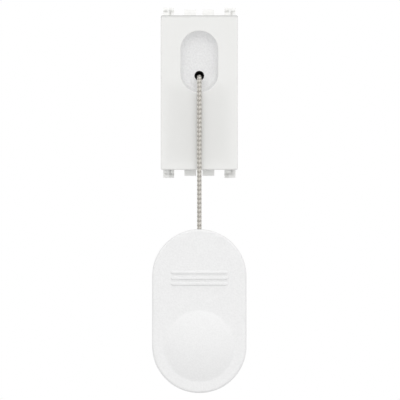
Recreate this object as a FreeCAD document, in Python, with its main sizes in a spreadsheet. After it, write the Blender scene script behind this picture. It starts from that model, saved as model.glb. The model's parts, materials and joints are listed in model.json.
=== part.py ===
import FreeCAD, Part

import math
import os
import re

import Sketcher

# One-module pull cord switch, in millimetres: X to the right, Y into the wall, Z up.
# Origin: middle of the face in X and Z, on the plane (Y = 0) where the module rests on its mounting frame.
DIMENSIONS = {
    # Face and front cover
    "face_width": 22.4,
    "face_height": 45.0,
    "face_y": -8.5,
    "cover_wall": 1.4,
    "corner_radius": 0.45,
    "edge_radius": 0.3,
    "bevel_height": 0.65,
    "bevel_depth": 1.4,
    # Recess in the face, round the cord
    "recess_radius": 5.45,
    "recess_low_z": 5.45,
    "recess_high_z": 12.45,
    "floor_y": -5.9,
    "floor_radius": 3.6,
    "floor_high_z": 9.6,
    "recess_back_y": -4.6,
    "recess_back_radius": 6.6,
    # Locating pins of the cover in the clip frame
    "locator_x": 10.2,
    "locator_z": 15.0,
    "locator_radius": 0.5,
    "locator_length": 1.5,
    # Clip frame: ring, rigid stops, elastic clips
    "ring_front_y": -2.2,
    "ring_width": 22.2,
    "ring_height": 44.8,
    "window_half_width": 9.0,
    "window_half_height": 18.6,
    "stop_inner_x": 0.92,
    "stop_outer_x": 4.35,
    "stop_tip_z": 24.25,
    "stop_relief_height": 0.3,
    "stop_relief_depth": 0.15,
    "clip_inner_x": 7.36,
    "clip_width": 3.2,
    "pad_tip_z": 23.4,
    "pad_rear_y": -0.7,
    "slot_start": 1.8,
    "slot_width": 0.5,
    "slit_tip_z": 24.0,
    "slit_depth": 0.5,
    "rib_start": 1.2,
    "rib_width": 0.58,
    "rib_front_y": 0.9,
    "rib_tip_z": 24.6,
    "catch_y": 1.6,
    "tooth_rear_y": 2.5,
    "arm_end_y": 5.8,
    "arm_inner_z": 20.9,
    "arm_outer_z": 22.1,
    "arm_tip_z": 22.3,
    "tooth_tip_z": 24.85,
    "cheek_inner_x": 10.5,
    "cheek_outer_x": 11.1,
    "cheek_half_height": 4.2,
    "cheek_end_y": 6.2,
    "cheek_window_half_height": 3.1,
    "cheek_window_front_y": 2.9,
    "cheek_window_rear_y": 4.9,
    # Cord and its guide bush
    "cord_z": 4.6,
    "cord_radius": 0.7,
    "bush_z": 4.9,
    "bush_bore_radius": 1.05,
    "bush_mouth_radius": 1.25,
    "bush_mouth_depth": 0.6,
    "bush_radius": 1.37,
    "bush_front_y": -6.0,
    "bush_flange_rear_y": -3.8,
    "bush_flange_radius": 2.1,
    "bush_gap": 0.03,
    # Rear housing
    "box_half_width": 10.4,
    "box_half_height": 20.5,
    "housing_rear_y": 18.0,
    "housing_wall": 1.4,
    "web_front_y": 5.6,
    "web_rear_y": 6.8,
    "web_low_z": -15.0,
    "web_high_z": -1.8,
    "guide_half_width": 2.1,
    "ear_inner_x": 4.6,
    "ear_outer_x": 6.2,
    "ear_radius": 2.1,
    "bump_outer_x": 10.95,
    "bump_front_y": 3.0,
    "bump_rear_y": 4.7,
    "bump_half_height": 3.0,
    "snap_z": 9.5,
    "snap_half_height": 1.6,
    "snap_front_y": 13.2,
    "snap_rear_y": 15.2,
    # Lever, on a pin across the housing
    "pivot_y": 1.0,
    "pivot_z": -4.0,
    "pin_radius": 0.9,
    "pin_half_length": 6.2,
    "pin_fit": 0.05,
    "hub_radius": 1.9,
    "hub_half_width": 4.3,
    "arm_half_width": 3.4,
    "arm_thickness": 1.6,
    "arm_reach": 11.6,
    "fork_start": 7.7,
    "fork_half_width": 0.95,
    "nose_half_width": 1.8,
    "nose_arm_thickness": 1.2,
    "nose_reach": 5.5,
    "nose_radius": 1.2,
    "lever_swing": 15.6,
    "knot_radius": 1.9,
    "knot_gap": 0.12,
    # Plunger, its cage and the moving contact
    "plunger_z": -9.3,
    "plunger_front_y": 0.84,
    "stem_half_width": 1.95,
    "cage_front_y": 6.85,
    "cage_rear_y": 15.4,
    "cage_half_width": 2.5,
    "cage_half_height": 3.0,
    "cage_window_front_y": 7.85,
    "cage_window_half_height": 2.1,
    "stub_radius": 1.1,
    "stub_length": 1.2,
    "bridge_front_y": 13.4,
    "bridge_rear_y": 14.4,
    "bridge_half_length": 6.4,
    "bridge_half_height": 1.6,
    "bridge_gap": 0.03,
    "seat_radius": 0.95,
    "seat_height": 0.8,
    "contact_x": 5.0,
    "tip_radius": 1.2,
    "tip_rear_y": 15.0,
    "fixed_tip_radius": 1.4,
    "fixed_tip_front_y": 17.42,
    # Springs
    "return_coil_radius": 1.7,
    "return_wire_radius": 0.25,
    "return_turns": 7.0,
    "contact_coil_radius": 1.4,
    "contact_wire_radius": 0.2,
    "contact_turns": 5.0,
    "spring_gap": 0.02,
    # Terminals and the base that holds them
    "bar_front_y": 18.6,
    "bar_rear_y": 19.6,
    "bar_half_width": 8.2,
    "bar_inner_z": 11.6,
    "bar_outer_z": 17.6,
    "arm_strip_half_width": 1.6,
    "bar_end_gap": 1.7,
    "terminal_z": 14.6,
    "chamber_inner_z": 11.4,
    "chamber_outer_z": 18.7,
    "chamber_half_width": 7.2,
    "deck_half_width": 8.4,
    "deck_half_height": 10.4,
    "base_floor_y": 25.6,
    "base_rear_y": 27.0,
    "relief_half_width": 6.8,
    "relief_low_z": -12.6,
    "well_radius": 2.9,
    "well_floor_y": 24.0,
    "core_low_z": -3.0,
    "core_high_z": 9.0,
    "wire_x": 4.5,
    "wire_y": 21.3,
    "wire_radius": 1.7,
    "driver_hole_radius": 1.9,
    "saddle_front_y": 23.0,
    "saddle_rear_y": 23.9,
    "saddle_half_width": 6.9,
    "saddle_inner_z": 12.0,
    "saddle_outer_z": 17.4,
    "saddle_lip": 0.7,
    "screw_radius": 1.5,
    "screw_gap": 0.02,
    "screw_end_y": 18.0,
    "screw_chamfer": 0.5,
    "head_chamfer": 0.3,
    "head_radius": 2.2,
    "head_rear_y": 25.5,
    "head_slot_half_width": 0.35,
    "head_slot_depth": 0.8,
    "tongue_inner_x": 8.0,
    "tongue_outer_x": 8.9,
    "tongue_front_y": 12.8,
    "tooth_outer_x": 9.8,
    # Pull tab, measured up from the middle of its lower end
    "tab_radius": 13.7,
    "tab_low_z": -73.7,
    "tab_foot": 0.0,
    "tab_span": 20.2,
    "tab_y": -9.4,
    "tab_half_depth": 3.0,
    "tab_wall": 1.2,
    "tab_edge_radius": 0.7,
    "dome_radius": 10.35,
    "dome_hollow_radius": 10.14,
    "dome_height": 1.8,
    "grip_half_width": 8.2,
    "grip_half_height": 0.45,
    "grip_pitch": 1.65,
    "grip_height": 0.35,
    "grip_up": 19.7,
    "inlet_radius": 0.95,
    "pocket_high": 31.5,
    "pocket_low": 26.9,
    "pocket_radius": 2.15,
    "block_half_width": 4.2,
    "block_low": 25.7,
    "block_high": 32.7,
    "peg_x": 8.6,
    "peg_high": 19.2,
    "peg_low": -9.3,
    "peg_radius": 0.9,
    "peg_length": 1.4,
    "boss_radius": 1.8,
    "tab_knot_gap": 0.05,
}

# Route of the hanging cord from the bush to its knot in the tab, as (y, z) points in the plane X = 0.
CORD_ROUTE = [(-4.2, 4.6), (-6.2, 4.6), (-9.4, 1.4), (-9.4, -42.2)]
RUN_SHARE = 0.45
CORD_END_GAP = 0.025

# The lever leans back by its swing at rest, and the knot waits just behind it.
LEAN = math.radians(DIMENSIONS["lever_swing"])
DIMENSIONS["knot_y"] = (
    DIMENSIONS["pivot_y"] + (DIMENSIONS["cord_z"] - DIMENSIONS["pivot_z"]) * math.tan(LEAN)
    + (DIMENSIONS["arm_thickness"] / 2 + DIMENSIONS["knot_radius"] + DIMENSIONS["knot_gap"]) / math.cos(LEAN)
)
DIMENSIONS["inner_cord_front_y"] = CORD_ROUTE[0][0]
DIMENSIONS["inner_cord_rear_y"] = DIMENSIONS["knot_y"] - DIMENSIONS["knot_radius"] - CORD_END_GAP

PLANES = {"X": "YZ_Plane", "Y": "XZ_Plane", "Z": "XY_Plane"}
PARTS_FOLDER = "parts"
TOUCH = 1e-4

os.makedirs(PARTS_FOLDER, exist_ok=True)
document = FreeCAD.newDocument("pull_cord_switch")
sheet = document.addObject("Spreadsheet::Sheet", "Sheet")
for row, (name, value) in enumerate(DIMENSIONS.items(), 1):
    sheet.set(f"A{row}", name)
    sheet.set(f"B{row}", str(value))
    sheet.setAlias(f"B{row}", name)
document.recompute()


# ---------------------------------------------------------------- helpers

def bound(text):
    """The expression in which each dimension's name is read from the sheet."""
    return re.sub(r"[a-z][a-z_]*", r"Sheet.\g<0>", text)


def size(name):
    """One dimension's value, as the sheet holds it."""
    return sheet.get(name)


def new_body(label):
    body = document.addObject("PartDesign::Body", label)
    body.Label = label
    return body


def sketch_on(body, name, axis, position):
    """A sketch square to an axis, at a place along it; Y sketches look back along -Y, as their plane does."""
    sketch = body.newObject("Sketcher::SketchObject", name)
    plane = next(item for item in body.Origin.OriginFeatures if item.Role == PLANES[axis])
    sketch.AttachmentSupport = [(plane, "")]
    sketch.MapMode = "FlatFace"
    sign = "-" if axis == "Y" else ""
    sketch.setExpression("AttachmentOffset.Base.z", bound(f"{sign}({position})"))
    return sketch


def bind(sketch, kind, geometry, point, rough, expression):
    """One dimension of a sketch, measured from its origin and bound to the sheet."""
    index = sketch.addConstraint(Sketcher.Constraint(kind, -1, 1, geometry, point, rough))
    sketch.setExpression(f"Constraints[{index}]", bound(expression))


def polygon(*corners):
    """A closed outline of straight lines: a rough ring of points, each then bound to its own place."""
    def draw(sketch):
        first = sketch.GeometryCount
        turn = 2 * math.pi / len(corners)
        ring = [FreeCAD.Vector(math.cos(turn * i), math.sin(turn * i), 0) for i in range(len(corners))]
        for start, end in zip(ring, ring[1:] + ring[:1]):
            sketch.addGeometry(Part.LineSegment(start, end))
        for i in range(len(corners)):
            following = first + (i + 1) % len(corners)
            sketch.addConstraint(Sketcher.Constraint("Coincident", first + i, 2, following, 1))
        for i, (across, up) in enumerate(corners):
            bind(sketch, "DistanceX", first + i, 1, ring[i].x, across)
            bind(sketch, "DistanceY", first + i, 1, ring[i].y, up)
    return draw


def rectangle(left, right, low, high):
    return polygon((left, low), (right, low), (right, high), (left, high))


def centred(half_width, half_height, up="0"):
    """A rectangle centred across, at a height."""
    return rectangle(f"-({half_width})", half_width, f"{up} - ({half_height})", f"{up} + ({half_height})")


def disc(across, up, radius):
    def draw(sketch):
        index = sketch.addGeometry(Part.Circle(FreeCAD.Vector(0, 0, 0), FreeCAD.Vector(0, 0, 1), 1))
        bind(sketch, "DistanceX", index, 3, 0, across)
        bind(sketch, "DistanceY", index, 3, 0, up)
        limit = sketch.addConstraint(Sketcher.Constraint("Radius", index, 1))
        sketch.setExpression(f"Constraints[{limit}]", bound(radius))
    return draw


def stadium(radius, low, high, shrink=None):
    """An upright slot shape: two half circles on the centre line, joined by straight sides."""
    def draw(sketch):
        expression = f"{radius} - {shrink}" if shrink else radius
        wide = size(radius) - size(shrink) if shrink else size(radius)
        low_end = FreeCAD.Vector(0, size(low), 0)
        high_end = FreeCAD.Vector(0, size(high), 0)
        side = FreeCAD.Vector(wide, 0, 0)
        normal = FreeCAD.Vector(0, 0, 1)
        top = sketch.addGeometry(Part.ArcOfCircle(Part.Circle(high_end, normal, wide), 0, math.pi))
        left = sketch.addGeometry(Part.LineSegment(high_end - side, low_end - side))
        base = sketch.addGeometry(Part.ArcOfCircle(Part.Circle(low_end, normal, wide), math.pi, 2 * math.pi))
        right = sketch.addGeometry(Part.LineSegment(low_end + side, high_end + side))
        for one, one_end, two, two_end in ((top, 2, left, 1), (left, 2, base, 1), (base, 2, right, 1),
                                           (right, 2, top, 1)):
            sketch.addConstraint(Sketcher.Constraint("Tangent", one, one_end, two, two_end))
        for arc, height in ((top, high), (base, low)):
            sketch.addConstraint(Sketcher.Constraint("PointOnObject", arc, 3, -2))
            bind(sketch, "DistanceY", arc, 3, size(height), height)
        limit = sketch.addConstraint(Sketcher.Constraint("Radius", top, wide))
        sketch.setExpression(f"Constraints[{limit}]", bound(expression))
    return draw


def pad(body, name, axis, low, high, *outlines):
    """Material between two places along an axis."""
    sketch = sketch_on(body, f"{name}_outline", axis, high if axis == "Y" else low)
    for outline in outlines:
        outline(sketch)
    feature = body.newObject("PartDesign::Pad", name)
    feature.Profile = sketch
    feature.setExpression("Length", bound(f"({high}) - ({low})"))
    return feature


def pocket(body, name, axis, low, high, *outlines):
    """A cut between two places along an axis."""
    sketch = sketch_on(body, f"{name}_outline", axis, low if axis == "Y" else high)
    for outline in outlines:
        outline(sketch)
    feature = body.newObject("PartDesign::Pocket", name)
    feature.Profile = sketch
    feature.setExpression("Length", bound(f"({high}) - ({low})"))
    return feature


def turned(body, name, outline, cut=False):
    """A shape turned about the body's own Y axis, from an outline of (y, radius) corners."""
    sketch = sketch_on(body, f"{name}_outline", "X", "0")
    outline(sketch)
    feature = body.newObject("PartDesign::Groove" if cut else "PartDesign::Revolution", name)
    feature.Profile = sketch
    feature.ReferenceAxis = (sketch, ["H_Axis"])
    feature.Angle = 360
    return feature


def rounded(body, name, radius, chosen, kind="PartDesign::Fillet"):
    """Rounds the edges of the body's last feature that a test picks out."""
    document.recompute()
    base = body.Tip
    edges = [f"Edge{i}" for i, edge in enumerate(base.Shape.Edges, 1) if chosen(edge)]
    feature = body.newObject(kind, name)
    feature.Base = (base, edges)
    feature.setExpression("Radius", bound(radius))
    return feature


def place(item, x="0", y="0", z="0"):
    for axis, text in (("x", x), ("y", y), ("z", z)):
        item.setExpression(f"Placement.Base.{axis}", bound(text))


def mirrored_pair(label, source, normal):
    """Two identical pieces in one node: the source and its mirror image through the origin plane."""
    image = document.addObject("Part::Mirroring", f"{label}_image")
    image.Source = source
    image.Normal = normal
    pair = document.addObject("Part::Compound", label)
    pair.Links = [source, image]
    pair.Label = label
    return pair


def lies_along(edge, axis):
    """Whether a straight edge runs along an axis."""
    if edge.Curve.TypeId != "Part::GeomLine":
        return False
    direction = edge.tangentAt(edge.FirstParameter)
    return abs(abs(direction.dot(axis)) - 1) < TOUCH


def lies_at(edge, level):
    """Whether a whole edge lies on the plane Y = level."""
    return abs(edge.BoundBox.YMin - level) < TOUCH and abs(edge.BoundBox.YMax - level) < TOUCH


# ---------------------------------------------------------------- casing

def front_cover():
    """Shell with the face, its bevelled top edge, the recess round the cord and four locating pins."""
    body = new_body("front_cover")
    pad(body, "cover_blank", "Y", "face_y", "ring_front_y", centred("face_width / 2", "face_height / 2"))
    rounded(body, "cover_corners", "corner_radius", lambda edge: lies_along(edge, FreeCAD.Vector(0, 1, 0)))
    rounded(body, "cover_front_edge", "edge_radius", lambda edge: lies_at(edge, size("face_y")))
    pocket(body, "top_bevel", "X", "-face_width / 2", "face_width / 2",
           polygon(("face_y", "face_height / 2 - bevel_height"), ("face_y + bevel_depth", "face_height / 2"),
                   ("face_y", "face_height / 2")))
    pocket(body, "cover_hollow", "Y", "face_y + cover_wall", "ring_front_y",
           centred("face_width / 2 - cover_wall", "face_height / 2 - cover_wall"))
    pad(body, "recess_back", "Y", "face_y + cover_wall / 2", "recess_back_y",
        stadium("recess_back_radius", "recess_low_z", "recess_high_z"))
    mouth = sketch_on(body, "recess_mouth", "Y", "face_y")
    stadium("recess_radius", "recess_low_z", "recess_high_z")(mouth)
    floor = sketch_on(body, "recess_floor", "Y", "floor_y")
    stadium("floor_radius", "recess_low_z", "floor_high_z")(floor)
    recess = body.newObject("PartDesign::SubtractiveLoft", "recess")
    recess.Profile = mouth
    recess.Sections = [floor]
    recess.Ruled = True
    pocket(body, "bush_hole", "Y", "floor_y", "recess_back_y", disc("0", "bush_z", "bush_radius + bush_gap"))
    pad(body, "locators", "Y", "ring_front_y", "ring_front_y + locator_length", *locators("locator_radius"))
    return body


def locators(radius):
    return [disc(f"{side} locator_x", f"{end} locator_z", radius) for side in "+-" for end in "+-"]


def clip_frame():
    """Ring behind the face: rigid stops and elastic clips at both ends, a snap cheek on each side.

    A relief groove across each stop's root lets the stop's rear face seat flat on the frame.
    """
    body = new_body("clip_frame")
    pad(body, "ring", "Y", "ring_front_y", "0", centred("ring_width / 2", "ring_height / 2"))
    pocket(body, "ring_window", "Y", "ring_front_y", "0", centred("window_half_width", "window_half_height"))
    pocket(body, "locator_holes", "Y", "ring_front_y", "ring_front_y + locator_length",
           *locators("locator_radius"))
    for end, word in (("+", "top"), ("-", "bottom")):
        root = f"{end} (ring_height / 2 - cover_wall)"
        pad(body, f"{word}_stops", "Y", "ring_front_y", "0",
            *[rectangle(f"{side} stop_inner_x", f"{side} stop_outer_x", root, f"{end} stop_tip_z")
              for side in "+-"])
        pocket(body, f"{word}_stop_reliefs", "Y", "-stop_relief_depth", "0",
               *[rectangle(f"{side} stop_inner_x", f"{side} stop_outer_x", f"{end} ring_height / 2",
                           f"{end} (ring_height / 2 + stop_relief_height)") for side in "+-"])
        for left, side in (("clip_inner_x", "right"), ("-(clip_inner_x + clip_width)", "left")):
            clip(body, f"{word}_{side}", left, end, root)
    for side, word in (("+", "right"), ("-", "left")):
        pad(body, f"{word}_cheek", "Z", "-cheek_half_height", "cheek_half_height",
            rectangle(f"{side} cheek_inner_x", f"{side} cheek_outer_x", "-locator_radius", "cheek_end_y"))
    pocket(body, "cheek_windows", "X", "-cheek_outer_x", "cheek_outer_x",
           rectangle("cheek_window_front_y", "cheek_window_rear_y",
                     "-cheek_window_half_height", "cheek_window_half_height"))
    return body


def clip(body, name, left, end, root):
    """One elastic clip: a slotted pad on the ring, a barbed arm behind it and a rib on the barb.

    The barb is slit behind the pad's slot and above the pad, which lets its tip give.
    """
    right = f"{left} + clip_width"
    slot_left, slot_right = (f"{left} + slot_start", f"{left} + slot_start + slot_width")
    pad(body, f"{name}_pad", "Y", "ring_front_y", "pad_rear_y",
        rectangle(left, slot_left, root, f"{end} pad_tip_z"),
        rectangle(slot_right, right, root, f"{end} pad_tip_z"))
    pad(body, f"{name}_hook", "X", left, right,
        polygon(("ring_front_y / 2", f"{end} arm_inner_z"), ("arm_end_y", f"{end} arm_inner_z"),
                ("arm_end_y", f"{end} arm_tip_z"), ("tooth_rear_y", f"{end} tooth_tip_z"),
                ("catch_y", f"{end} tooth_tip_z"), ("catch_y", f"{end} arm_outer_z"),
                ("ring_front_y / 2", f"{end} arm_outer_z")))
    pocket(body, f"{name}_slits", "Y", "catch_y", "catch_y + slit_depth",
           polygon((left, f"{end} pad_tip_z"), (left, f"{end} slit_tip_z"), (right, f"{end} slit_tip_z"),
                   (right, f"{end} pad_tip_z"), (slot_right, f"{end} pad_tip_z"),
                   (slot_right, f"{end} arm_outer_z"), (slot_left, f"{end} arm_outer_z"),
                   (slot_left, f"{end} pad_tip_z")))
    pad(body, f"{name}_rib", "Y", "rib_front_y", "catch_y",
        rectangle(f"{left} + rib_start", f"{left} + rib_start + rib_width",
                  f"{end} arm_inner_z", f"{end} rib_tip_z"))


def cord_bush():
    """Flared guide that the cord slides through, resting on the lower side of its bore."""
    body = new_body("cord_bush")
    turned(body, "bush", polygon(
        ("bush_front_y", "bush_mouth_radius"), ("bush_front_y", "bush_radius"),
        ("recess_back_y", "bush_radius"), ("recess_back_y", "bush_flange_radius"),
        ("bush_flange_rear_y", "bush_flange_radius"), ("bush_flange_rear_y", "bush_bore_radius"),
        ("bush_front_y + bush_mouth_depth", "bush_bore_radius")))
    place(body, z="bush_z")
    return body


def rear_housing():
    """Open box behind the frame, with the web that guides the plunger and the ears that hold the pin."""
    body = new_body("rear_housing")
    pad(body, "box", "Y", "0", "housing_rear_y", centred("box_half_width", "box_half_height"))
    pocket(body, "box_hollow", "Y", "0", "housing_rear_y",
           centred("box_half_width - housing_wall", "box_half_height - housing_wall"))
    pad(body, "web", "Y", "web_front_y", "web_rear_y",
        rectangle("housing_wall / 2 - box_half_width", "box_half_width - housing_wall / 2",
                  "web_low_z", "web_high_z"))
    pocket(body, "plunger_guide", "Y", "web_front_y", "web_rear_y",
           centred("guide_half_width", "guide_half_width", "plunger_z"))
    for side, word in (("+", "right"), ("-", "left")):
        inner, outer = (f"{side} ear_inner_x", f"{side} ear_outer_x")
        low, high = (inner, outer) if side == "+" else (outer, inner)
        pad(body, f"{word}_ear", "X", low, high,
            rectangle("pivot_y", "web_rear_y", "pivot_z - ear_radius", "pivot_z + ear_radius"))
        pad(body, f"{word}_ear_end", "X", low, high, disc("pivot_y", "pivot_z", "ear_radius"))
        pad(body, f"{word}_bump", "Z", "-bump_half_height", "bump_half_height",
            polygon((f"{side} (box_half_width - housing_wall / 2)", "bump_front_y"),
                    (f"{side} bump_outer_x", "bump_front_y"),
                    (f"{side} box_half_width", "bump_rear_y"),
                    (f"{side} (box_half_width - housing_wall / 2)", "bump_rear_y")))
    pocket(body, "pin_bores", "X", "-ear_outer_x", "ear_outer_x", disc("pivot_y", "pivot_z", "pin_radius"))
    pocket(body, "snap_windows", "X", "-bump_outer_x", "bump_outer_x",
           *[rectangle("snap_front_y", "snap_rear_y",
                       f"{end} snap_z - snap_half_height", f"{end} snap_z + snap_half_height")
             for end in "+-"])
    return body


def terminal_base():
    """Rear box with two terminal chambers, the spring's well and the wire and screwdriver holes."""
    body = new_body("terminal_base")
    pad(body, "base_block", "Y", "housing_rear_y", "base_rear_y",
        centred("box_half_width", "box_half_height"))
    for end, word in (("+", "upper"), ("-", "lower")):
        inner, outer = (f"{end} chamber_inner_z", f"{end} chamber_outer_z")
        pocket(body, f"{word}_bar_seat", "Y", "housing_rear_y", "bar_rear_y",
               rectangle("-deck_half_width", "deck_half_width", inner, outer))
        pocket(body, f"{word}_chamber", "Y", "housing_rear_y", "base_floor_y",
               rectangle("-chamber_half_width", "chamber_half_width", inner, outer))
        low, high = ("chamber_outer_z", "box_half_height") if end == "+" else \
                    ("-box_half_height", "-chamber_outer_z")
        pocket(body, f"{word}_wire_holes", "Z", low, high,
               *[disc(f"{side} wire_x", "wire_y", "wire_radius") for side in "+-"])
        pocket(body, f"{word}_driver_hole", "Y", "base_floor_y", "base_rear_y",
               disc("0", f"{end} terminal_z", "driver_hole_radius"))
    pocket(body, "deck", "Y", "housing_rear_y", "bar_rear_y", centred("deck_half_width", "deck_half_height"))
    pocket(body, "strip_notch", "Y", "housing_rear_y", "bar_rear_y",
           rectangle("-contact_x - bar_end_gap", "bar_end_gap - contact_x",
                     "deck_half_height", "chamber_inner_z"))
    pocket(body, "cage_relief", "Y", "housing_rear_y", "bar_rear_y",
           rectangle("-relief_half_width", "relief_half_width", "relief_low_z", "plunger_z"))
    pocket(body, "spring_well", "Y", "bar_rear_y", "well_floor_y", disc("0", "plunger_z", "well_radius"))
    pocket(body, "core", "Y", "bar_rear_y", "base_floor_y",
           rectangle("-chamber_half_width", "chamber_half_width", "core_low_z", "core_high_z"))
    pad(body, "spring_stub", "Y", "well_floor_y - stub_length", "base_floor_y",
        disc("0", "plunger_z", "stub_radius"))
    for side, word in (("+", "right"), ("-", "left")):
        for end, level in (("+", "upper"), ("-", "lower")):
            pad(body, f"{level}_{word}_tongue", "Z",
                f"{end} snap_z - snap_half_height / 2", f"{end} snap_z + snap_half_height / 2",
                polygon((f"{side} tongue_inner_x", "bar_rear_y"),
                        (f"{side} tongue_inner_x", "tongue_front_y"),
                        (f"{side} tongue_outer_x", "tongue_front_y"),
                        (f"{side} tongue_outer_x", "snap_front_y"),
                        (f"{side} tooth_outer_x", "(snap_front_y + snap_rear_y) / 2"),
                        (f"{side} tooth_outer_x", "snap_rear_y - pin_fit"),
                        (f"{side} tongue_outer_x", "snap_rear_y - pin_fit"),
                        (f"{side} tongue_outer_x", "bar_rear_y")))
    return body


# ---------------------------------------------------------------- lever, plunger and contacts

def lever_pin():
    body = new_body("lever_pin")
    pad(body, "pin", "X", "-pin_half_length", "pin_half_length", disc("0", "0", "pin_radius"))
    place(body, y="pivot_y", z="pivot_z")
    return body


def lever():
    """Forked lever, drawn upright about its bore and laid back to its rest angle by its placement."""
    body = new_body("lever")
    pad(body, "hub", "X", "-hub_half_width", "hub_half_width", disc("0", "0", "hub_radius"))
    pad(body, "arm", "X", "-arm_half_width", "arm_half_width",
        rectangle("-arm_thickness / 2", "arm_thickness / 2", "0", "arm_reach"))
    pad(body, "nose_arm", "X", "-nose_half_width", "nose_half_width",
        rectangle("-nose_arm_thickness / 2", "nose_arm_thickness / 2", "-nose_reach", "0"))
    pad(body, "nose", "X", "-nose_half_width", "nose_half_width", disc("0", "-nose_reach", "nose_radius"))
    pocket(body, "fork", "Y", "-arm_thickness", "arm_thickness",
           rectangle("-fork_half_width", "fork_half_width", "fork_start", "arm_reach"))
    pocket(body, "bore", "X", "-hub_half_width", "hub_half_width", disc("0", "0", "pin_radius + pin_fit"))
    body.Placement.Rotation = FreeCAD.Rotation(FreeCAD.Vector(1, 0, 0), -size("lever_swing"))
    place(body, y="pivot_y", z="pivot_z")
    return body


def plunger():
    """Square stem in the web's guide, with the cage that carries the moving contact behind it."""
    body = new_body("plunger")
    pad(body, "stem", "Y", "plunger_front_y", "cage_front_y",
        centred("stem_half_width", "stem_half_width", "plunger_z"))
    pad(body, "cage", "Y", "cage_front_y", "cage_rear_y",
        centred("cage_half_width", "cage_half_height", "plunger_z"))
    pocket(body, "cage_window", "X", "-cage_half_width", "cage_half_width",
           rectangle("cage_window_front_y", "bridge_rear_y + bridge_gap",
                     "plunger_z - cage_window_half_height", "plunger_z + cage_window_half_height"))
    pad(body, "spring_stub", "Y", "cage_rear_y", "cage_rear_y + stub_length",
        disc("0", "plunger_z", "stub_radius"))
    return body


def contact_bridge():
    body = new_body("contact_bridge")
    pad(body, "bridge", "Y", "bridge_front_y", "bridge_rear_y",
        centred("bridge_half_length", "bridge_half_height", "plunger_z"))
    pad(body, "spring_seat", "Y", "bridge_front_y - seat_height", "bridge_front_y",
        disc("0", "plunger_z", "seat_radius"))
    return body


def contact_tips(label, front, rear, radius):
    """A pair of silver tips, one on each side."""
    body = new_body(f"{label}_right")
    pad(body, f"{label}_tip", "Y", front, rear, disc("contact_x", "plunger_z", radius))
    return mirrored_pair(label, body, FreeCAD.Vector(1, 0, 0))


def coil_spring(label, front, rear, coil_radius, wire_radius, turns):
    """A round-wire spring about the plunger's line, between two faces."""
    body = new_body(label)
    sketch = sketch_on(body, f"{label}_wire", "X", "0")
    disc(f"{front} + {wire_radius} + spring_gap", coil_radius, wire_radius)(sketch)
    coil = body.newObject("PartDesign::AdditiveHelix", f"{label}_coil")
    coil.Profile = sketch
    coil.ReferenceAxis = (sketch, ["H_Axis"])
    coil.Mode = "height-turns-angle"
    coil.setExpression("Height", bound(f"{rear} - {front} - 2 * ({wire_radius} + spring_gap)"))
    coil.setExpression("Turns", bound(turns))
    place(body, z="plunger_z")
    return body


# ---------------------------------------------------------------- terminals

def terminal_bar(label, side, end, strip_end):
    """Flat brass bar: a plate under the clamp and a strip that runs to its fixed contact."""
    body = new_body(label)
    pad(body, "plate", "Y", "bar_front_y", "bar_rear_y",
        rectangle("-bar_half_width", "bar_half_width", f"{end} bar_inner_z", f"{end} bar_outer_z"))
    pad(body, "strip", "Y", "bar_front_y", "bar_rear_y",
        rectangle(f"{side} contact_x - arm_strip_half_width", f"{side} contact_x + arm_strip_half_width",
                  strip_end, f"{end} (bar_inner_z + arm_strip_half_width)"))
    pocket(body, "thread", "Y", "bar_front_y", "bar_rear_y",
           disc("0", f"{end} terminal_z", "screw_radius + screw_gap"))
    return body


def clamp_saddles():
    """Plates under the screw heads that press the wires on the bars; lips keep the strands in."""
    body = new_body("upper_saddle")
    pad(body, "saddle", "Y", "saddle_front_y", "saddle_rear_y",
        rectangle("-saddle_half_width", "saddle_half_width", "saddle_inner_z", "saddle_outer_z"))
    pad(body, "saddle_lips", "Y", "saddle_front_y - saddle_lip", "saddle_front_y",
        rectangle("-saddle_half_width", "saddle_half_width", "saddle_inner_z", "saddle_inner_z + saddle_lip"))
    pocket(body, "saddle_hole", "Y", "saddle_front_y", "saddle_rear_y",
           disc("0", "terminal_z", "screw_radius + 5 * screw_gap"))
    return mirrored_pair("clamp_saddles", body, FreeCAD.Vector(0, 0, 1))


def terminal_screws():
    body = new_body("upper_screw")
    turned(body, "screw", polygon(
        ("screw_end_y", "0"), ("screw_end_y", "screw_radius - screw_chamfer"),
        ("screw_end_y + screw_chamfer", "screw_radius"), ("saddle_rear_y", "screw_radius"),
        ("saddle_rear_y", "head_radius"), ("head_rear_y - head_chamfer", "head_radius"),
        ("head_rear_y", "head_radius - head_chamfer"), ("head_rear_y", "0")))
    for axis, word in (("X", "slot"), ("Z", "cross")):
        outline = (rectangle("head_rear_y - head_slot_depth", "head_rear_y",
                             "-head_slot_half_width", "head_slot_half_width") if axis == "X" else
                   rectangle("-head_slot_half_width", "head_slot_half_width",
                             "head_rear_y - head_slot_depth", "head_rear_y"))
        pocket(body, f"head_{word}", axis, "-head_radius", "head_radius", outline)
    place(body, z="terminal_z")
    return mirrored_pair("terminal_screws", body, FreeCAD.Vector(0, 0, 1))


# ---------------------------------------------------------------- cord and pull tab

def inner_cord():
    """The straight end of the cord between the bush and the knot behind the lever."""
    body = new_body("inner_cord")
    pad(body, "inner_run", "Y", "inner_cord_front_y", "inner_cord_rear_y", disc("0", "cord_z", "cord_radius"))
    return body


def knot(label, y, z):
    ball = document.addObject("Part::Sphere", label)
    ball.Label = label
    ball.setExpression("Radius", bound("knot_radius"))
    place(ball, y=y, z=z)
    return ball


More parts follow.
